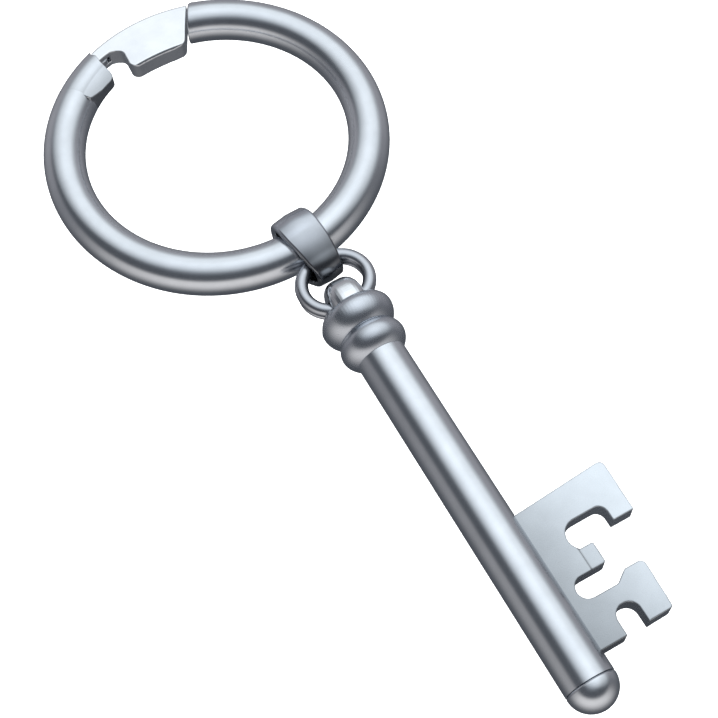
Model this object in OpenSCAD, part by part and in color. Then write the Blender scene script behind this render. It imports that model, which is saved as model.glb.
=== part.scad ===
// Key on a gate ring: a round-bar ring with a hinged, sprung gate, a flat strap that hangs on
// the bar, two jump rings and a barrel-stem key with a ward-cut bit. Sizes are in millimetres.
// Frame: the origin is the centre of the ring, the ring lies in the XY plane with +Z as its
// normal, and the key points along -Y.

/* [Ring] */
// Radius of the ring's centre line
ring_r = 22; // [21.9:0.05:22.1]
// Diameter of the round bar
bar_d = 6; // [5.9:0.05:6.05]

/* [Gate] */
// Thickness of the gate between its two flat faces
gate_t = 3; // [2.8:0.1:3.2]
// Radius of the gate's outer edge, from the ring's centre
gate_r = 24.5; // [24.4:0.05:24.6]
// Where the gate meets the bar's end, as an angle on the centre line
seam_at = 74; // [73:0.5:75]
// How far the seam leans from the radial direction
seam_lean = 12; // [10:0.5:14]
// Gap left in the seam
seam_gap = 0.35; // [0.25:0.05:0.5]
// Diameter of the hinge pin
pin_d = 1; // [0.9:0.05:1.05]

/* [Strap] */
// Direction in which the strap hangs from the bar, from -Y towards +X
strap_at = 7; // [5:0.5:9]
// Width of the strap where it lies on the bar
strap_w = 5.7; // [5.4:0.1:5.9]
// Thickness of the strap
strap_t = 0.95; // [0.85:0.05:1]

/* [Jump rings] */
// Diameter of the front jump ring's wire
wire_d = 1.9; // [1.7:0.05:1.95]
// Diameter of the back jump ring's wire
back_wire_d = 1; // [0.9:0.05:1]
// Length of a ring between its two far wires, centre to centre
link_l = 7.8; // [7.6:0.1:8.2]
// Extra width of a ring over its length
link_oval = 1.7; // [1.2:0.1:1.8]

/* [Key] */
// Diameter of the stem
stem_d = 6.9; // [6.7:0.1:7.1]
// Distance from the eye's centre to the end of the stem
stem_end = 59.3; // [59:0.1:62]
// Outer radius of the eye
eye_outer_r = 4.05; // [3.9:0.05:4.1]
// Width of the eye across the key
eye_w = 4.9; // [4.6:0.1:5.2]
// Thickness of the bit
bit_t = 3; // [2.8:0.1:3.2]
// Distance from the stem's axis to the bit's outer edge
bit_reach = 16.7; // [16.2:0.1:17.2]

/* [Hidden] */
$fn = 96;

bar_r = bar_d / 2;
pin_r = pin_d / 2;
wire_r = wire_d / 2;
back_wire_r = back_wire_d / 2;
stem_r = stem_d / 2;
running = 0.04;                        // clearance of the moving fits
clear = 0.02;                          // gap between the faces of brazed and pressed pieces
steel = [0.72, 0.74, 0.78];
steel_light = [0.86, 0.88, 0.92];
steel_dark = [0.52, 0.54, 0.58];

// Seam between the gate and the bar's end: a point on the centre line and its direction
seam = ring_r * [cos(seam_at), sin(seam_at)];
seam_angle = seam_at - seam_lean;
seam_dir = [cos(seam_angle), sin(seam_angle)];
seam_left = [-sin(seam_angle), cos(seam_angle)];

// Hinge of the gate, and the spring plunger in the gate that presses on the lug's tongue
knuckle_r = 1.2;
socket_r = knuckle_r + 0.1;
hinge_at = 111;
hinge = (gate_r - knuckle_r) * [cos(hinge_at), sin(hinge_at)];
pin_top = 0.95;
tongue_t = 1.1;
slot_t = tongue_t + 2 * running;
slot_r = 1.4;
cam_r = 1;
cam_offset = 0.3;
bore_dir = 18;
bore_r = 0.52;
bore_end = 5.4;                        // depth of the spring bore from the hinge
plunger_start = cam_r + 0.06;
plunger_l = 1.5;
spring_start = plunger_start + plunger_l + 0.25;
spring_wire_r = 0.09;
spring_turns = 6;

// Thumb lip: its inner edge is an arc flatter than the ring
lip_curve_r = 28;
lip_centre = [-0.7, 17.15 - lip_curve_r];
lip_corner_r = 1.2;

// Chain of the strap, the jump rings and the key, which lies a little above the ring's plane
chain_z = 0.8;
pivot_dist = 26;
pivot = [pivot_dist * sin(strap_at), -pivot_dist * cos(strap_at), chain_z];
eye_centre = pivot - [0, link_l, 0];
link_half = wire_r + back_wire_r + 0.025;   // half the height of the two jump rings together
wire_z = link_half - wire_r;           // height of the front wire's centre over the chain's plane
back_wire_z = back_wire_r - link_half;
link_step = 0.1;                       // each ring's sideways step
strap_bar_r = 3.45;                    // inner radius of the strap round the bar
strap_bar_at = ring_r - 0.75;
strap_wire_r = 1.9;                    // inner radius of the strap round the wires
strap_wire_at = pivot_dist - 0.15;
strap_lean = atan(chain_z / (strap_wire_at - strap_bar_at));

// Key: distances along the stem are measured from the eye's centre
eye_r = 1.85;
stud_r = 1.5;
stud_end = 13;
collar_top = 0.8;
bead_1 = [2.37, 5.25];                 // place and radius of the upper bead
waist = 4.97;
bead_2 = [6.67, 4.7];                  // place and radius of the lower bead
collar_end = 8.92;
bit_seat = 1;                          // the bit's inner edge, from the stem's axis
bit_top = 37;
bit_bottom = 56.85;
bit_rake = 3;                          // slope of the bit's top edge, in degrees
tooth_step = 0.15;                     // the middle tooth's end is stepped down this much in front
tip_l = 3.6;
spigot_l = 2.2;                        // length of the tip's spigot in the stem

// Points of an arc from angle a0 to angle a1
function arc(centre, r, a0, a1, steps = 10) =
    [for (i = [0:steps])
        centre + r * [cos(a0 + (a1 - a0) * i / steps), sin(a0 + (a1 - a0) * i / steps)]];

// Points [radius, distance] of a bead with its widest place at top[0] and half length a
function bead(top, a, from, to, steps = 12) =
    [for (i = [0:steps])
        let (v = from + (to - from) * i / steps)
            [top[1] * sqrt(1 - pow((v - top[0]) / a, 2)), v]];

function seam_point(out, left) = seam + out * seam_dir + left * seam_left;

// --- Ring and gate ---

// Outline of the lug's end: it hollows round the gate's knuckle and runs down to a round nose
lug_end = concat(
    arc(hinge, socket_r, 148, 232),
    [[-9.05, 19.4], [-8.75, 18.5]],
    arc([-9.65, 17], 1.25, 10, -70));

// What the lug's end leaves out of the bar
module lug_end_cutter() {
    translate([0, 0, -5])
        linear_extrude(10)
            polygon(concat([[-9.9, 26]], lug_end, [[-9.2, 13], [-4, 13], [-4, 26]]));
}

// The lug's inner side is filled out to a flat that slopes from the bar's crest to the nose
module lug_lip() {
    intersection() {
        translate([0, 0, -5])
            linear_extrude(10)
                polygon(concat(
                    [[-20, 26], [-9.9, 26]],
                    lug_end,
                    [[-10.8, 15.05], [-12.1, 14.65], [-13, 14.45], [-13.4, 14.9], [-13.7, 15.2],
                     [-20, 12]]));
        rotate([0, 0, 105])
            rotate_extrude(angle = 27)
                polygon([[ring_r, -1], [ring_r, bar_r - 0.03], [17.8, 2], [17.8, 0.7], [19.4, -0.6]]);
    }
}

// Tongue on the lug that the gate's fork straddles, with a cam for the plunger
module hinge_tongue() {
    difference() {
        linear_extrude(tongue_t, center = true) {
            translate(hinge)
                circle(cam_r);
            translate(hinge + cam_offset * [cos(bore_dir + 90), sin(bore_dir + 90)])
                circle(cam_r);
            polygon([hinge + [-0.2, 0.8], [-11, 22.2], [-11, 20.2], hinge + [-0.3, -0.8]]);
        }
        translate([hinge[0], hinge[1], -2])
            cylinder(h = 4, r = pin_r + running);
    }
}

module ring_body() {
    color(steel)
        union() {
            difference() {
                rotate([0, 0, 106])
                    rotate_extrude(angle = 334)
                        translate([ring_r, 0])
                            circle(bar_r);
                translate([seam[0], seam[1], -5])
                    rotate([0, 0, seam_angle])
                        translate([-8, 0, 0])
                            cube([16, 8, 10]);
                lug_end_cutter();
            }
            lug_lip();
            hinge_tongue();
        }
}

module gate_plan() {
    polygon(concat(
        arc(hinge, knuckle_r, hinge_at, 245, 16),
        [[-7.9, 21], [-6.9, 21.25], [-6.1, 21.05]],
        arc([-6.1, 19.9], 1, 60, 0, 6),
        [[-5.15, 18.4]],
        arc([lip_corner_r - 5.2, lip_corner_r + 16.95], lip_corner_r, 180, 262, 8),
        arc(lip_centre, lip_curve_r, 97, 85),
        arc(seam_point(lip_corner_r - 5.31, seam_gap + lip_corner_r),
            lip_corner_r, -97, seam_angle - 90, 8),
        [seam_point(3, seam_gap)],
        arc([0, 0], gate_r + 1, 73, 108)));
}

// The gate's outer edge is rounded, and its thumb lip is bevelled in front
module gate_blank() {
    half = gate_t / 2;
    edge = 0.45;
    intersection() {
        linear_extrude(gate_t, center = true)
            gate_plan();
        rotate_extrude()
            polygon(concat(
                [[10, -half]],
                arc([gate_r - edge, -half + edge], edge, -90, 0, 6),
                arc([gate_r - edge, half - edge], edge, 0, 90, 6),
                [[10, half]]));
    }
}

module gate() {
    half = gate_t / 2;
    color(steel_light)
        difference() {
            gate_blank();
            translate([lip_centre[0], lip_centre[1], 0])
                rotate_extrude()
                    polygon([[lip_curve_r - 1, half - 1.3], [lip_curve_r + 1.3, half + 1],
                             [lip_curve_r - 1, half + 1]]);
            translate([hinge[0], hinge[1], -slot_t / 2])
                cylinder(h = slot_t, r = slot_r);
            translate([hinge[0], hinge[1], -2])
                cylinder(h = 2 + pin_top + clear, r = pin_r);
            translate([hinge[0], hinge[1], 0])
                rotate([0, 90, bore_dir])
                    cylinder(h = bore_end, r = bore_r);
        }
}

module gate_pin() {
    color(steel_dark)
        translate([hinge[0], hinge[1], -gate_t / 2])
            cylinder(h = gate_t / 2 + pin_top, r = pin_r);
}

module gate_plunger() {
    color(steel_dark)
        translate([hinge[0], hinge[1], 0])
            rotate([0, 90, bore_dir])
                translate([0, 0, plunger_start])
                    cylinder(h = plunger_l, r = bore_r - running);
}

// Closed coil of round wire along +Z, swept ring by ring
module coil(r, wire, length, turns, per_turn = 20, sides = 8) {
    rings = turns * per_turn;
    points = [for (i = [0:rings], k = [0:sides - 1])
        let (a = 360 * i / per_turn, b = 360 * k / sides)
            [(r + wire * cos(b)) * cos(a), (r + wire * cos(b)) * sin(a),
             wire + (length - 2 * wire) * i / rings + wire * sin(b)]];
    sides_list = [for (i = [0:rings - 1], k = [0:sides - 1])
        [i * sides + k, i * sides + (k + 1) % sides,
         (i + 1) * sides + (k + 1) % sides, (i + 1) * sides + k]];
    start_cap = [[for (k = [0:sides - 1]) sides - 1 - k]];
    end_cap = [[for (k = [0:sides - 1]) rings * sides + k]];
    polyhedron(points, concat(start_cap, sides_list, end_cap));
}

module gate_spring() {
    color(steel_dark)
        translate([hinge[0], hinge[1], 0])
            rotate([0, 90, bore_dir])
                translate([0, 0, spring_start])
                    coil(bore_r - 0.14, spring_wire_r, bore_end - 0.05 - spring_start, spring_turns);
}

// --- Strap and jump rings ---

// Points between two others, on a side that bows out a little
function bowed(from, to, bow = 0.3, steps = 6) =
    let (along = (to - from) / norm(to - from))
        [for (i = [1:steps - 1])
            from + (to - from) * i / steps - bow * sin(180 * i / steps) * [-along[1], along[0]]];

// Outline of a loop from the origin along X, with a round end at each of two places
module drop(r_1, r_2, length) {
    lean = acos((r_1 - r_2) / length);
    upper = bowed(r_2 * [cos(lean), sin(lean)] + [length, 0], r_1 * [cos(lean), sin(lean)]);
    lower = [for (i = [len(upper) - 1:-1:0]) [upper[i][0], -upper[i][1]]];
    polygon(concat(arc([0, 0], r_1, lean, 360 - lean, 28), lower,
                   arc([length, 0], r_2, -lean, lean, 16), upper));
}

// The loop leans up from the bar to the height of the chain
module strap_loop() {
    length = (strap_wire_at - strap_bar_at) / cos(strap_lean);
    translate([strap_bar_at, 0, 0])
        rotate([90, -strap_lean, 0])
            linear_extrude(12, center = true)
                difference() {
                    drop(strap_bar_r + strap_t, strap_wire_r + strap_t, length);
                    drop(strap_bar_r, strap_wire_r, length);
                }
}

module strap() {
    half = strap_w / 2;
    color(steel)
        rotate([0, 0, strap_at - 90])
            intersection() {
                strap_loop();
                linear_extrude(12, center = true)
                    polygon([[16, half - 0.6], [17, half - 0.1], [18, half], [20.5, half],
                             [27.6, half - 0.7], [28.6, half - 1.2], [28.6, 1.2 - half],
                             [27.6, 0.7 - half], [20.5, -half], [18, -half], [17, 0.1 - half],
                             [16, 0.6 - half]]);
            }
}

// A ring of round wire, a little wider than it is long, that hangs from the origin along -Y
module jump_ring(r) {
    bend = link_l / 2;
    for (y = [0, -link_l])
        translate([-link_oval / 2, y, 0])
            rotate([0, 90, 0])
                cylinder(h = link_oval, r = r);
    for (side = [0, 1])
        mirror([side, 0, 0])
            translate([link_oval / 2, -bend, 0])
                rotate([0, 0, -90])
                    rotate_extrude(angle = 180)
                        translate([bend, 0])
                            circle(r);
}

module jump_ring_front() {
    color(steel)
        translate(pivot + [link_step, 0, wire_z])
            jump_ring(wire_r);
}

module jump_ring_back() {
    color(steel)
        translate(pivot + [-link_step, 0, back_wire_z])
            jump_ring(back_wire_r);
}

// --- Key ---

// A solid of revolution on the key's stem, from [radius, distance] points
module turned(points) {
    translate(eye_centre)
        rotate([90, 0, 0])
            rotate_extrude()
                polygon(points);
}

module stem_rod(r, from, to) {
    translate(eye_centre)
        rotate([90, 0, 0])
            translate([0, 0, from])
                cylinder(h = to - from, r = r);
}

module cross_rod(r, length) {
    translate(eye_centre)
        rotate([0, 90, 0])
            cylinder(h = length, r = r, center = true);
}

module key_eye() {
    half = eye_w / 2;
    outer = 1.9;
    inner = 0.3;
    color(steel)
        union() {
            translate(eye_centre)
                rotate([0, 90, 0])
                    rotate_extrude()
                        polygon(concat(
                            arc([eye_outer_r - outer, outer - half], outer, -90, 0, 6),
                            arc([eye_outer_r - outer, half - outer], outer, 0, 90, 6),
                            arc([eye_r + inner, half - inner], inner, 90, 180, 4),
                            arc([eye_r + inner, inner - half], inner, 180, 270, 4)));
            difference() {
                stem_rod(stud_r, eye_r + 0.3, stud_end);
                cross_rod(eye_r + 0.2, 2 * eye_w);
            }
        }
}

module key_collar_upper() {
    color(steel)
        difference() {
            turned(concat(
                [[0, collar_top]],
                bead(bead_1, 3.02, collar_top, bead_1[0]),
                bead(bead_1, 3.95, bead_1[0] + 0.1, waist),
                [[0, waist]]));
            stem_rod(stud_r + clear, 0, waist + 1);
            cross_rod(eye_r, 14);
            cross_rod(eye_outer_r + clear, eye_w + 2 * clear);
        }
}

module key_collar_lower() {
    color(steel)
        difference() {
            turned(concat(
                [[0, waist + clear]],
                bead(bead_2, 3.13, waist + clear, bead_2[0]),
                bead(bead_2, 3.31, bead_2[0] + 0.1, collar_end),
                [[0, collar_end]]));
            stem_rod(stud_r + clear, waist - 1, collar_end + 1);
        }
}

module key_stem() {
    color(steel)
        difference() {
            stem_rod(stem_r, collar_end + clear, stem_end);
            stem_rod(stud_r + clear, collar_end - 1, stud_end + clear);
            stem_rod(stud_r + clear, stem_end - spigot_l - 2 * clear, stem_end + 1);
            translate(eye_centre)
                translate([bit_seat - clear, -bit_bottom - clear, -bit_t / 2 - clear])
                    cube([stem_r, bit_bottom - bit_top + 2 * clear + 0.3, bit_t + 2 * clear]);
        }
}

// Plan of the bit, with x across the key and y along it towards the eye
module bit_plan() {
    rise = bit_reach * sin(bit_rake);
    difference() {
        polygon(concat(
            [[bit_seat, -bit_top], [bit_seat + 2.5, -bit_top]],
            arc([bit_reach - 0.8, rise - bit_top - 0.8], 0.8, 93, 0, 5),
            [[bit_reach - 0.15, -43.7], [13.75, -43.7], [9.8, -44.74]],
            arc([9.45, -47.45], 0.35, 0, -90, 4),
            [[11.4, -49.6]],
            arc([13.1, -50.4], 0.8, 90, 0, 5),
            arc([13.3, -56.2], 0.4, 0, -90, 4),
            [[10.1, -56.7], [6.9, -bit_bottom], [bit_seat, -bit_bottom]]));
        upper_notch();
        middle_notch();
        lower_notch();
    }
}

// Round-ended notch between the upper and the middle tooth
module upper_notch() {
    polygon(concat(
        arc([12.25, -42.3], 1.2, 0, 90, 6),
        arc([9.15, -43.15], 2, 93, 232, 14),
        [[18, -44.74], [18, -43.7], [13.45, -43.7]]));
}

// Round-ended notch between the middle and the lower tooth
module middle_notch() {
    polygon(concat(
        [[18, -47.8]],
        arc([6, -49.3], 1.5, 90, 270, 14),
        [[9.5, -50.8], [11.2, -49.6], [18, -49.6]]));
}

// Round-topped notch that opens at the bit's lower end
module lower_notch() {
    translate([8.5, -54.8])
        circle(1.6);
    translate([6.9, -60])
        square([3.2, 5.2]);
}

module key_bit() {
    color(steel_light)
        translate(eye_centre)
            difference() {
                linear_extrude(bit_t, center = true)
                    bit_plan();
                translate([7.6, -48.2, bit_t / 2 - tooth_step])
                    cube([3, 4.5, 1]);
            }
}

module key_tip() {
    color(steel)
        union() {
            turned(concat(
                [[0, stem_end + clear], [stem_r, stem_end + clear]],
                [for (i = [0:14])
                    [stem_r * cos(90 * i / 14), stem_end + 0.2 + (tip_l - 0.2) * sin(90 * i / 14)]]));
            stem_rod(stud_r, stem_end - spigot_l, stem_end + 0.1);
        }
}

ring_body();
gate();
gate_pin();
gate_plunger();
gate_spring();
strap();
jump_ring_front();
jump_ring_back();
key_eye();
key_collar_upper();
key_collar_lower();
key_stem();
key_bit();
key_tip();
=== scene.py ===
"""Key on a gate ring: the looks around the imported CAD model, in metres and in its frame."""
import math

import bmesh
import bpy
from mathutils import Matrix, Vector


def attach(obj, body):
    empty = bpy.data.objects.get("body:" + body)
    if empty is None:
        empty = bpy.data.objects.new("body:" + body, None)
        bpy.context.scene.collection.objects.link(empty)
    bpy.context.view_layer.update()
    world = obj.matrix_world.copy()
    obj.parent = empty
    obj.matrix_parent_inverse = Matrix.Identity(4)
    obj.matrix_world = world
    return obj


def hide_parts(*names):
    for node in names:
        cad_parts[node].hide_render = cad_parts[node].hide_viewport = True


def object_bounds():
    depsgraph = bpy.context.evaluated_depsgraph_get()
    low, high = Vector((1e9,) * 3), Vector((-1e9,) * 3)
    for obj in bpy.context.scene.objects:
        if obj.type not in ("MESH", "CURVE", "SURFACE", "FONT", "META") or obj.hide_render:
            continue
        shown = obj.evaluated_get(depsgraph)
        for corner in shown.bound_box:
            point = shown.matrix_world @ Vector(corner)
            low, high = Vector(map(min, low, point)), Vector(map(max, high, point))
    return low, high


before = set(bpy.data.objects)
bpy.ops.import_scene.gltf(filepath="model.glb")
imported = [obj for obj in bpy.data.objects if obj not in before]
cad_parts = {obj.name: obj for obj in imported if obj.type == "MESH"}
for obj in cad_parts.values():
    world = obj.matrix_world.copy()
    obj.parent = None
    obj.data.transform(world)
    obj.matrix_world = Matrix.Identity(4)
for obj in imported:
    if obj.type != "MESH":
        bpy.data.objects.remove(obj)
cad_lo, cad_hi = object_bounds()

MM = 0.001


# --- Materials ---


def node(tree, kind, **values):
    """A shader node with its properties and its inputs set by name."""
    made = tree.nodes.new(kind)
    for name, value in values.items():
        if hasattr(made, name):
            setattr(made, name, value)
        else:
            made.inputs[name.replace("_", " ")].default_value = value
    return made


def ramp(tree, fac, stops):
    """The colour of a ramp on fac, with grey or RGB stops."""
    made = tree.nodes.new("ShaderNodeValToRGB")
    elements = made.color_ramp.elements
    while len(elements) < len(stops):
        elements.new(0.5)
    for element, (place, colour) in zip(elements, stops):
        if isinstance(colour, float):
            colour = (colour, colour, colour)
        element.position = place
        element.color = (*colour, 1)
    tree.links.new(fac, made.inputs["Fac"])
    return made.outputs["Color"]


FINE_GRAIN = 9000.0
BROAD_MOTTLE = 260.0
RELIEF_DEPTH = 0.00002


def steel(name, colour, rough=0.22, grain=(1, 1, 1), mottle=0.05, bump=0.02, painted_shade=None):
    """Steel with a fine grain stretched along one axis, faint mottling and uneven polish.

    The last argument, if given, is painted shade (direction, from, to, share): the colour
    rises from share of itself to all of it along the direction.
    """
    mat = bpy.data.materials.new(name)
    mat.use_nodes = True
    tree = mat.node_tree
    shader = tree.nodes["Principled BSDF"]
    shader.inputs["Metallic"].default_value = 1.0
    coords = node(tree, "ShaderNodeTexCoord")
    stretch = node(tree, "ShaderNodeMapping", Scale=grain)
    tree.links.new(coords.outputs["Object"], stretch.inputs["Vector"])
    fine = node(tree, "ShaderNodeTexNoise", Scale=FINE_GRAIN, Detail=3.0, Roughness=0.6)
    tree.links.new(stretch.outputs["Vector"], fine.inputs["Vector"])
    broad = node(tree, "ShaderNodeTexNoise", Scale=BROAD_MOTTLE, Detail=4.0, Roughness=0.55)
    tree.links.new(coords.outputs["Object"], broad.inputs["Vector"])
    dark = tuple(c * (1 - mottle) for c in colour)
    light = tuple(min(1.0, c * (1 + mottle)) for c in colour)
    tint = ramp(tree, broad.outputs["Fac"], [(0.3, dark), (0.7, light)])
    # Painted shade: the base colour darkens towards one end of a direction
    if painted_shade:
        axis, start, end, share = painted_shade
        along = node(tree, "ShaderNodeVectorMath", operation="DOT_PRODUCT")
        tree.links.new(coords.outputs["Object"], along.inputs[0])
        along.inputs[1].default_value = axis
        rise = node(tree, "ShaderNodeMapRange", interpolation_type="SMOOTHSTEP")
        rise.inputs["From Min"].default_value = start
        rise.inputs["From Max"].default_value = end
        rise.inputs["To Min"].default_value = share
        tree.links.new(along.outputs["Value"], rise.inputs["Value"])
        shade = node(tree, "ShaderNodeVectorMath", operation="SCALE")
        tree.links.new(tint, shade.inputs[0])
        tree.links.new(rise.outputs["Result"], shade.inputs["Scale"])
        tint = shade.outputs["Vector"]
    tree.links.new(tint, shader.inputs["Base Color"])
    polish = ramp(tree, fine.outputs["Fac"], [(0.25, rough * 0.86), (0.75, rough * 1.14)])
    tree.links.new(polish, shader.inputs["Roughness"])
    relief = node(tree, "ShaderNodeBump", Strength=bump, Distance=RELIEF_DEPTH)
    tree.links.new(fine.outputs["Fac"], relief.inputs["Height"])
    tree.links.new(relief.outputs["Normal"], shader.inputs["Normal"])
    return mat


COOL = (0.74, 0.77, 0.81)
bar_steel = steel("bar_steel", COOL)
gate_steel = steel("gate_steel", (0.92, 0.94, 0.97))
# Painted shade on the strap: its colour darkens from over the bar towards the jump rings
strap_steel = steel("strap_steel", (0.60, 0.63, 0.68),
                    painted_shade=((-0.12, 0.99, 0), -0.0262, -0.0212, 0.35))
wire_steel = steel("wire_steel", (0.58, 0.60, 0.64))
key_steel = steel("key_steel", (0.76, 0.79, 0.83))
# Painted shade on the bit: its colour darkens from the outer edge towards the stem
bit_steel = steel("bit_steel", (0.72, 0.76, 0.80), rough=0.26,
                  painted_shade=((0.96, 0.28, 0), -0.021, -0.002, 0.48))
dark_steel = steel("dark_steel", (0.5, 0.52, 0.56), rough=0.3)
collar_steel = steel("collar_steel", (0.66, 0.69, 0.74), rough=0.26)
# A copy of the bar's steel with painted shade: the lug's colour darkens towards the ring's inside
lug_steel = steel("lug_steel", COOL,
                  painted_shade=((-0.469, 0.883, 0), 0.0175, 0.0222, 0.52))
eye_steel = steel("eye_steel", (0.88, 0.90, 0.93), rough=0.16)
# Each CAD part's material; the strap's and the bit's steels carry painted shade
PART_MATERIALS = {
    "ring_body": bar_steel, "gate": gate_steel, "gate_pin": dark_steel,
    "gate_plunger": dark_steel, "gate_spring": dark_steel, "strap": strap_steel,
    "jump_ring_front": wire_steel, "jump_ring_back": wire_steel, "key_eye": eye_steel,
    "key_collar_upper": collar_steel, "key_collar_lower": key_steel, "key_stem": key_steel,
    "key_bit": bit_steel, "key_tip": key_steel,
}
for name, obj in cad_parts.items():
    obj.data.materials.clear()
    obj.data.materials.append(PART_MATERIALS[name])
    obj.data.polygons.foreach_set("use_smooth", [True] * len(obj.data.polygons))

# --- Pieces ---


def piece(name, points, faces, body, node_names, slot_name, material):
    """A smooth mesh piece, in metres, that rides on a body and stands for CAD nodes."""
    data = bpy.data.meshes.new(name)
    data.from_pydata([tuple(p) for p in points], [], faces)
    data.validate()
    turned = bmesh.new()
    turned.from_mesh(data)
    bmesh.ops.recalc_face_normals(turned, faces=turned.faces)
    turned.to_mesh(data)
    turned.free()
    data.materials.append(material)
    data.polygons.foreach_set("use_smooth", [True] * len(data.polygons))
    made = bpy.data.objects.new(name, data)
    bpy.context.scene.collection.objects.link(made)
    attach(made, body)
    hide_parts(*node_names)
    return made


def skin(rows, closed):
    """Points and faces of a skin over rows of equal length, where each row is a closed loop.

    closed joins the last row to the first; if it is false, each end gets one flat face.
    """
    count = len(rows[0])
    points = [p for row in rows for p in row]
    last = len(rows) if closed else len(rows) - 1
    faces = []
    for i in range(last):
        a = i * count
        b = ((i + 1) % len(rows)) * count
        for k in range(count):
            n = (k + 1) % count
            faces.append((a + k, a + n, b + n, b + k))
    if not closed:
        faces.append(tuple(range(count)))
        faces.append(tuple(range(len(points) - 1, len(points) - 1 - count, -1)))
    return points, faces


def lathe(profile, centre, sides=128):
    """A turned skin round the -Y axis through centre, from (radius, distance) in mm."""
    rows = []
    for radius, along in profile:
        row = []
        for k in range(sides):
            a = 2 * math.pi * k / sides
            offset = Vector((radius * math.cos(a), -along, radius * math.sin(a)))
            row.append(centre + offset * MM)
        rows.append(row)
    return skin(rows, closed=False)


def round_off(obj, voxel, passes):
    """Modifiers that round off an object's edges: a fine even mesh, smoothed."""
    even = obj.modifiers.new("even", "REMESH")
    even.mode = "VOXEL"
    even.voxel_size = voxel * MM
    even.use_smooth_shade = True
    soft = obj.modifiers.new("soft", "SMOOTH")
    soft.factor = 0.5
    soft.iterations = passes


# The ring's round bar, from the lug round to the seam with the gate: sizes in mm, angles in
# degrees round the ring from +X
RING_R = 22.0
BAR_R = 3.0
BAR_PROUD = 0.008
BAR_ROWS = 300
BAR_SIDES = 96
END_EDGE = 0.3
END_ROWS = 8
END_LEANS_FROM = 0.8
LUG_AT = 131.0
# How far past the bar's start the lug's mesh runs, and from how far past it is drawn in
LUG_PAST = 9
LUG_COVERED_PAST = 0.8
LUG_TO = 92.0
SEAM_AT = 74.0
SEAM_LEAN = 12.0
TURN = 2 * math.pi


def seam_offset(a, radius):
    """Distance of a point of the ring, at angle a, from the seam's plane, in mm."""
    seam = RING_R * Vector((math.cos(math.radians(SEAM_AT)), math.sin(math.radians(SEAM_AT))))
    turn = math.radians(SEAM_AT - SEAM_LEAN)
    normal = Vector((-math.sin(turn), math.cos(turn)))
    return (radius * Vector((math.cos(a), math.sin(a))) - seam).dot(normal)


def seam_angle(radius, short):
    """Angle at which a point at this radius comes within short of the seam's plane."""
    low = math.radians(40)
    high = math.radians(100)
    for _ in range(40):
        middle = (low + high) / 2
        if seam_offset(middle, radius) < -short:
            low = middle
        else:
            high = middle
    return low


def bar_row(bar, place):
    """One round of the bar: bar is its radius, and place turns a distance out to an angle."""
    made = []
    for k in range(BAR_SIDES):
        a = 2 * math.pi * k / BAR_SIDES
        out = RING_R + bar * math.cos(a)
        turn = place(out)
        made.append(Vector((out * math.cos(turn), out * math.sin(turn), bar * math.sin(a))) * MM)
    return made


def ring_bar():
    """The bar's skin, with its last rows drawn in to a rounded, leaning end face."""
    start = math.radians(LUG_AT)
    square = seam_angle(RING_R, END_EDGE) + TURN
    outer = BAR_R + BAR_PROUD
    rows = []
    # The early second row keeps the start's flat face from bending the shading along the bar
    for i in [0, 0.05] + list(range(1, BAR_ROWS + 1)):
        t = i / BAR_ROWS

        def along(out, t=t):
            end = seam_angle(out, END_EDGE) + TURN
            near = max(0.0, (t - END_LEANS_FROM) / (1 - END_LEANS_FROM))
            return start + (square - start) * t + (end - square) * near * near * t

        rows.append(bar_row(outer, along))
    for i in range(1, END_ROWS + 1):
        a = math.pi / 2 * i / END_ROWS

        def onto(out, a=a):
            return seam_angle(out, END_EDGE * (1 - math.sin(a))) + TURN

        rows.append(bar_row(outer - END_EDGE * (1 - math.cos(a)), onto))
    for inset in (0.45, 0.9, 1.53, 2.16, 2.52):
        rows.append(bar_row(BAR_R - END_EDGE - inset, lambda out: seam_angle(out, 0.0) + TURN))
    return skin(rows, closed=False)


def lug():
    """The CAD ring's lug and tongue, cut out between two angles, remeshed and smoothed."""
    cut = bmesh.new()
    cut.from_mesh(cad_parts["ring_body"].data)
    bmesh.ops.remove_doubles(cut, verts=cut.verts, dist=1e-7)
    for angle, side in ((LUG_AT + LUG_PAST, 1), (LUG_TO, -1)):
        a = math.radians(angle)
        bmesh.ops.bisect_plane(
            cut, geom=cut.verts[:] + cut.edges[:] + cut.faces[:], plane_co=(0, 0, 0),
            plane_no=Vector((-math.sin(a), math.cos(a), 0)) * side, clear_outer=True)
        bmesh.ops.holes_fill(cut, edges=cut.edges)
    data = bpy.data.meshes.new("ring_lug")
    cut.to_mesh(data)
    cut.free()
    made = bpy.data.objects.new("ring_lug", data)
    bpy.context.scene.collection.objects.link(made)
    round_off(made, voxel=0.08, passes=5)
    settle(made)
    sink_under_bar(made.data)
    return made


def sink_under_bar(data, depth=0.04):
    """Draw in what the lug's mesh has beyond the start of the bar, so that the bar covers it."""
    for vertex in data.vertices:
        angle = math.atan2(vertex.co.y, vertex.co.x)
        if angle > math.radians(LUG_AT + LUG_COVERED_PAST):
            centre = Vector((math.cos(angle), math.sin(angle), 0)) * RING_R * MM
            offset = vertex.co - centre
            vertex.co = centre + offset * min(1.0, (BAR_R - depth) * MM / offset.length)


def settle(obj):
    """Apply an object's modifiers to its mesh."""
    graph = bpy.context.evaluated_depsgraph_get()
    data = bpy.data.meshes.new_from_object(obj.evaluated_get(graph))
    obj.modifiers.clear()
    obj.data = data


# The jump rings: each wire's radius and the height of its centre over the chain's plane, the
# distance between a ring's far wires, how much wider it is than that, and its sideways step
FRONT_WIRE = (0.95, 0.525)
BACK_WIRE = (0.5, -0.975)
LINK_L = 7.8
LINK_OVAL = 1.7
LINK_STEP = 0.1
LINK_ROWS = 72
WIRE_SIDES = 40
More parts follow.
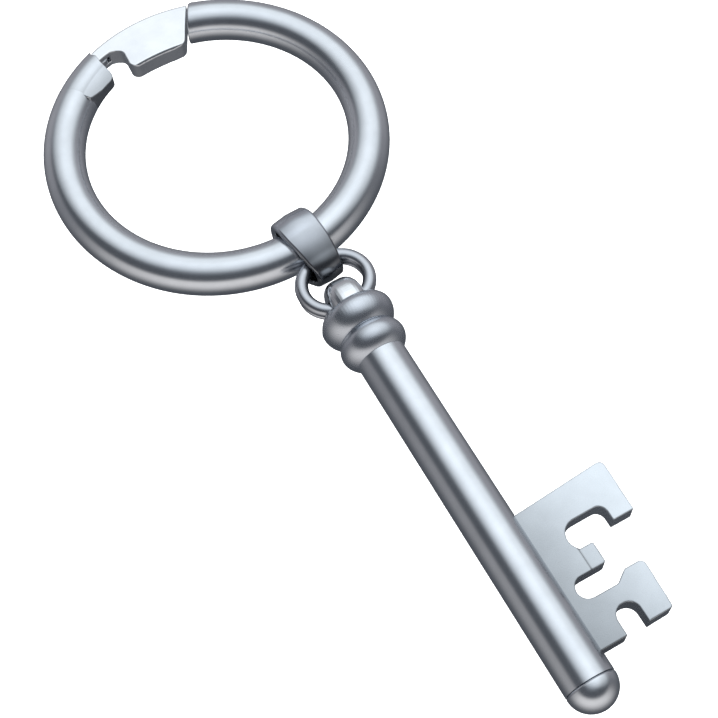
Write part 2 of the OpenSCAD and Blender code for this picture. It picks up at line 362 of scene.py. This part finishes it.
# The chain's two pivots, from the CAD: the jump rings hang from one and the key from the other
STRAP_AT = math.radians(7.0)
CHAIN_Z = 0.8
PIVOT_DIST = 26.0
PIVOT = Vector((PIVOT_DIST * math.sin(STRAP_AT), -PIVOT_DIST * math.cos(STRAP_AT), CHAIN_Z)) * MM
EYE = PIVOT - Vector((0, LINK_L, 0)) * MM


def jump_ring(wire, step):
    """The skin of a round wire bent to a loop that is a little wider than long."""
    radius, height = wire
    bend = LINK_L / 2
    rows = []
    for i in range(2 * LINK_ROWS):
        half = i // LINK_ROWS
        a = math.pi * (i % LINK_ROWS) / (LINK_ROWS - 1) - math.pi / 2 + math.pi * half
        centre_x = (LINK_OVAL / 2) * (1 if half == 0 else -1)
        out = Vector((math.cos(a), math.sin(a), 0))
        centre = Vector((centre_x + step, -bend, height)) + out * bend
        row = []
        for k in range(WIRE_SIDES):
            b = 2 * math.pi * k / WIRE_SIDES
            offset = out * math.cos(b) + Vector((0, 0, math.sin(b)))
            row.append(PIVOT + (centre + offset * radius) * MM)
        rows.append(row)
    return skin(rows, closed=True)


# The strap, as a thick rounded band bent to the loop of the CAD's strap, in mm. Each of the
# first two is a distance from the ring's centre and the loop's outer radius there.
STRAP_BAR = (21.25, 4.4)
STRAP_WIRE = (25.85, 2.85)
STRAP_LEAN = math.atan(CHAIN_Z / (STRAP_WIRE[0] - STRAP_BAR[0]))
SIDE_STEPS = 12
SIDE_BOW = 0.3
SIDE_BOW_TURN = 0.12
BAND_SIDES = 48
BAND_T = 1.0
BAND_HALF_W = 2.83
NARROWER_AT_BAR = 0.3
NARROWER_AT_WIRES = 0.75
NARROWS_OVER = 7.3
BAND_CROWN = 0.25
BAND_INSET = 0.2
# Towards the wires the band gets thinner over this distance, and its inset smaller
THIN_OVER = 4
THINNER = 0.18
INSET_LESS = 0.08


def bowed_side(start, end, out, a):
    """The path's points along one long side, which bows out a little."""
    points = []
    for i in range(1, SIDE_STEPS):
        t = i / SIDE_STEPS
        bow = SIDE_BOW * math.sin(math.pi * t)
        points.append((start.lerp(end, t) + out * bow, a + SIDE_BOW_TURN * math.cos(math.pi * t)))
    return points


def strap_path():
    """Places on the loop's outer face, as (distance from the bar, height), and their normals."""
    length = (STRAP_WIRE[0] - STRAP_BAR[0]) / math.cos(STRAP_LEAN)
    big = STRAP_BAR[1]
    small = STRAP_WIRE[1]
    lean = math.acos((big - small) / length)
    along = Vector((length, 0))
    low = Vector((math.cos(-lean), math.sin(-lean)))
    high = Vector((math.cos(lean), math.sin(lean)))
    path = []
    for i in range(65):
        a = lean + (2 * math.pi - 2 * lean) * i / 64
        path.append((Vector((math.cos(a), math.sin(a))) * big, a))
    path += bowed_side(low * big, low * small + along, low, -lean)
    for i in range(33):
        a = -lean + 2 * lean * i / 32
        path.append((Vector((math.cos(a), math.sin(a))) * small + along, a))
    path += bowed_side(high * small + along, high * big, high, lean)
    return path


def half_width(out):
    """Half the band's width at a distance from the bar's centre line: narrower at both ends."""
    if out < 0:
        return BAND_HALF_W - NARROWER_AT_BAR * min(1.0, -out / STRAP_BAR[1]) ** 2
    return BAND_HALF_W - NARROWER_AT_WIRES * min(1.0, out / NARROWS_OVER) ** 1.6


def strap_band():
    """The skin of the band, whose section is a flat bar with rounded edges and a crown."""
    turn = Matrix.Rotation(STRAP_AT - math.pi / 2, 3, "Z")
    tilt = Matrix.Rotation(-STRAP_LEAN, 3, "Y")
    rows = []
    for place, a in strap_path():
        normal = Vector((math.cos(a), 0, math.sin(a)))
        half = half_width(place.x)
        thinned = min(1.0, max(0.0, place.x / THIN_OVER))
        thick = BAND_T - THINNER * thinned
        edge = thick / 2 - 0.01
        inset = BAND_INSET - INSET_LESS * thinned
        row = []
        for k in range(BAND_SIDES):
            b = 2 * math.pi * k / BAND_SIDES
            across = (half - edge) * (1 if math.cos(b) > 0 else -1) + edge * math.cos(b)
            # The middle of each flat face, where the crown is highest
            if abs(math.cos(b)) < 1e-6:
                across = 0.0
            deep = (thick / 2 - edge) * (1 if math.sin(b) > 0 else -1) + edge * math.sin(b)
            crown = BAND_CROWN * (1 - (across / half) ** 2)
            inward = thick / 2 - deep - (crown if deep > 0 else 0) + inset
            point = Vector((place.x, 0, place.y)) - normal * inward + Vector((0, across, 0))
            row.append((turn @ (tilt @ point + Vector((STRAP_BAR[0], 0, 0)))) * MM)
        rows.append(row)
    return skin(rows, closed=True)


# Turned parts of the key: radius and distance from the eye's centre, in mm
STEM_R = 3.45
COLLAR_END = 8.92
STEM_END = 59.3
TIP_L = 3.6


def tip_profile():
    """A domed end with a shallow groove where it meets the stem."""
    rim = 0.3
    profile = [(0.01, STEM_END), (STEM_R - rim, STEM_END),
               (STEM_R - 0.2, STEM_END + 0.06), (STEM_R - 0.06, STEM_END + 0.18)]
    for i in range(32):
        a = math.pi / 2 * i / 32
        profile.append((STEM_R * math.cos(a), STEM_END + rim + (TIP_L - rim) * math.sin(a)))
    profile.append((0.01, STEM_END + TIP_L))
    return profile


def bead_profile(middle, radius, half_up, half_down, start, end):
    """A bead between two distances, with its widest place at middle and its ends rounded off."""
    points = [(0.01, start)]
    for i in range(49):
        v = start + (end - start) * i / 48
        half = half_up if v < middle else half_down
        points.append((radius * math.sqrt(1 - ((v - middle) / half) ** 2), v))
    points.append((0.01, end))
    return points


# --- Assembly ---

lug_piece = lug()
lug_piece.data.materials.clear()
lug_piece.data.materials.append(lug_steel)
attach(lug_piece, "ring")
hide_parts("ring_body")
piece("ring_bar", *ring_bar(), "ring", ["ring_body"], "ring_steel", bar_steel)
piece("jump_front_wire", *jump_ring(FRONT_WIRE, LINK_STEP), "jump_front",
      ["jump_ring_front"], "wire_steel", wire_steel)
piece("jump_back_wire", *jump_ring(BACK_WIRE, -LINK_STEP), "jump_back",
      ["jump_ring_back"], "wire_steel", wire_steel)
piece("strap_band", *strap_band(), "strap", ["strap"], "strap_steel", strap_steel)
bead = bead_profile(middle=6.67, radius=4.7, half_up=3.13, half_down=3.31, start=4.99,
                    end=COLLAR_END)
piece("lower_collar", *lathe(bead, EYE), "key", ["key_collar_lower"], "key_steel", collar_steel)
piece("domed_tip", *lathe(tip_profile(), EYE), "key", ["key_tip"], "key_steel", key_steel)
ROUNDED_NODES = {
    "gate": (0.07, 12), "key_eye": (0.07, 6),
    "key_collar_upper": (0.07, 7), "key_bit": (0.1, 16),
}
for name, (voxel, passes) in ROUNDED_NODES.items():
    round_off(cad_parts[name], voxel, passes)

# --- Floor, light and camera ---

scene = bpy.context.scene
scene.view_settings.view_transform = "Standard"

# The floor is low enough for the key to swing down to its limit above it, and reaches far
SWING_ROOM = 0.062
FLOOR_REACH = 20.0
floor_mesh = bpy.data.meshes.new("floor")
floor_grid = bmesh.new()
bmesh.ops.create_grid(floor_grid, x_segments=1, y_segments=1, size=FLOOR_REACH)
floor_grid.to_mesh(floor_mesh)
floor_grid.free()
floor = bpy.data.objects.new("floor", floor_mesh)
floor.location.z = cad_lo.z - SWING_ROOM
scene.collection.objects.link(floor)
floor.visible_glossy = False
paper = bpy.data.materials.new("paper")
paper.use_nodes = True
paper_shader = paper.node_tree.nodes["Principled BSDF"]
paper_shader.inputs["Base Color"].default_value = (0.95, 0.95, 0.95, 1)
paper_shader.inputs["Roughness"].default_value = 0.9
paper_shader.inputs["Emission Color"].default_value = (1, 1, 1, 1)
paper_shader.inputs["Emission Strength"].default_value = 0.85
floor_mesh.materials.append(paper)


def direction(azimuth, elevation):
    """A unit vector, from angles in degrees: azimuth 0 is +Y and 90 is +X."""
    a = math.radians(azimuth)
    e = math.radians(elevation)
    return Vector((math.sin(a) * math.cos(e), math.cos(a) * math.cos(e), math.sin(e)))


def studio():
    """A bright dome over the far side, a fainter light from straight above, and a low band.

    The band runs round the horizon and is brighter on the near side.
    """
    world = bpy.data.worlds.new("studio")
    scene.world = world
    world.use_nodes = True
    tree = world.node_tree
    coords = node(tree, "ShaderNodeTexCoord")

    def towards(axis, low, high, kind="SMOOTHSTEP"):
        """0 to 1 as the cosine of the angle to an axis goes from low to high."""
        dot = node(tree, "ShaderNodeVectorMath", operation="DOT_PRODUCT")
        tree.links.new(coords.outputs["Generated"], dot.inputs[0])
        dot.inputs[1].default_value = axis
        part = node(tree, "ShaderNodeMapRange", interpolation_type=kind)
        part.inputs["From Min"].default_value = low
        part.inputs["From Max"].default_value = high
        tree.links.new(dot.outputs["Value"], part.inputs["Value"])
        return part.outputs["Result"]

    def scaled(value, colour):
        made = node(tree, "ShaderNodeVectorMath", operation="SCALE")
        made.inputs[0].default_value = colour
        tree.links.new(value, made.inputs["Scale"])
        return made.outputs["Vector"]

    def times(a, b):
        made = node(tree, "ShaderNodeMath", operation="MULTIPLY")
        tree.links.new(a, made.inputs[0])
        tree.links.new(b, made.inputs[1])
        return made.outputs["Value"]

    def plus(a, b):
        made = node(tree, "ShaderNodeVectorMath", operation="ADD")
        tree.links.new(a, made.inputs[0])
        tree.links.new(b, made.inputs[1])
        return made.outputs["Vector"]

    overhead = Vector((0, 0, 1))
    dome = towards(direction(44, 50), 0.42, 1.0, "LINEAR")
    dome = times(dome, towards(overhead, 0.12, 0.62))
    above = towards(overhead, 0.75, 1.0)
    band = times(towards(-overhead, -0.50, -0.18), towards(overhead, -0.95, -0.02))
    near = times(band, towards(direction(-155, 0), -0.2, 1.0))
    far = times(band, towards(direction(20, 0), -0.4, 0.8))
    light = scaled(dome, (0.98, 1.03, 1.06))
    light = plus(light, scaled(above, (0.24, 0.26, 0.28)))
    light = plus(light, scaled(near, (0.72, 0.69, 0.67)))
    light = plus(light, scaled(far, (0.26, 0.25, 0.26)))
    base = node(tree, "ShaderNodeCombineXYZ", X=0.085, Y=0.092, Z=0.105)
    light = plus(light, base.outputs["Vector"])
    tree.links.new(light, tree.nodes["Background"].inputs["Color"])
    tree.nodes["Background"].inputs["Strength"].default_value = 1.0


studio()

lamp_data = bpy.data.lights.new("overhead", "AREA")
lamp_data.shape = "DISK"
lamp_data.size = 1.6
lamp_data.energy = 14.0
lamp = bpy.data.objects.new("overhead", lamp_data)
lamp.location = (0.1, 0.1, 1.0)
lamp.rotation_euler = (-lamp.location).to_track_quat("-Z", "Y").to_euler()
lamp.visible_glossy = False
scene.collection.objects.link(lamp)


def camera():
    """Looks down on the front from beyond the key's tip, turned a little on its axis.

    ring_centre is where the ring's centre lies for the camera: to its right, up and ahead.
    """
    heading = math.radians(26.0)
    pitch = math.radians(63.76)
    roll = math.radians(-3.68)
    ring_centre = Vector((-20.54, 31.44, 216.63)) * MM
    level = math.cos(pitch)
    ahead = Vector((math.sin(heading) * level, math.cos(heading) * level, -math.sin(pitch)))
    side = Vector((math.cos(heading), -math.sin(heading), 0))
    top = side.cross(ahead)
    right = math.cos(roll) * side + math.sin(roll) * top
    up = -math.sin(roll) * side + math.cos(roll) * top
    data = bpy.data.cameras.new("camera")
    data.sensor_width = 36.0
    data.lens = 75.21
    data.clip_start = 0.01
    data.clip_end = 100.0
    made = bpy.data.objects.new("camera", data)
    turn = Matrix((right, up, -ahead)).transposed()
    place = -(right * ring_centre.x + up * ring_centre.y + ahead * ring_centre.z)
    made.matrix_world = Matrix.Translation(place) @ turn.to_4x4()
    scene.collection.objects.link(made)
    scene.camera = made


camera()
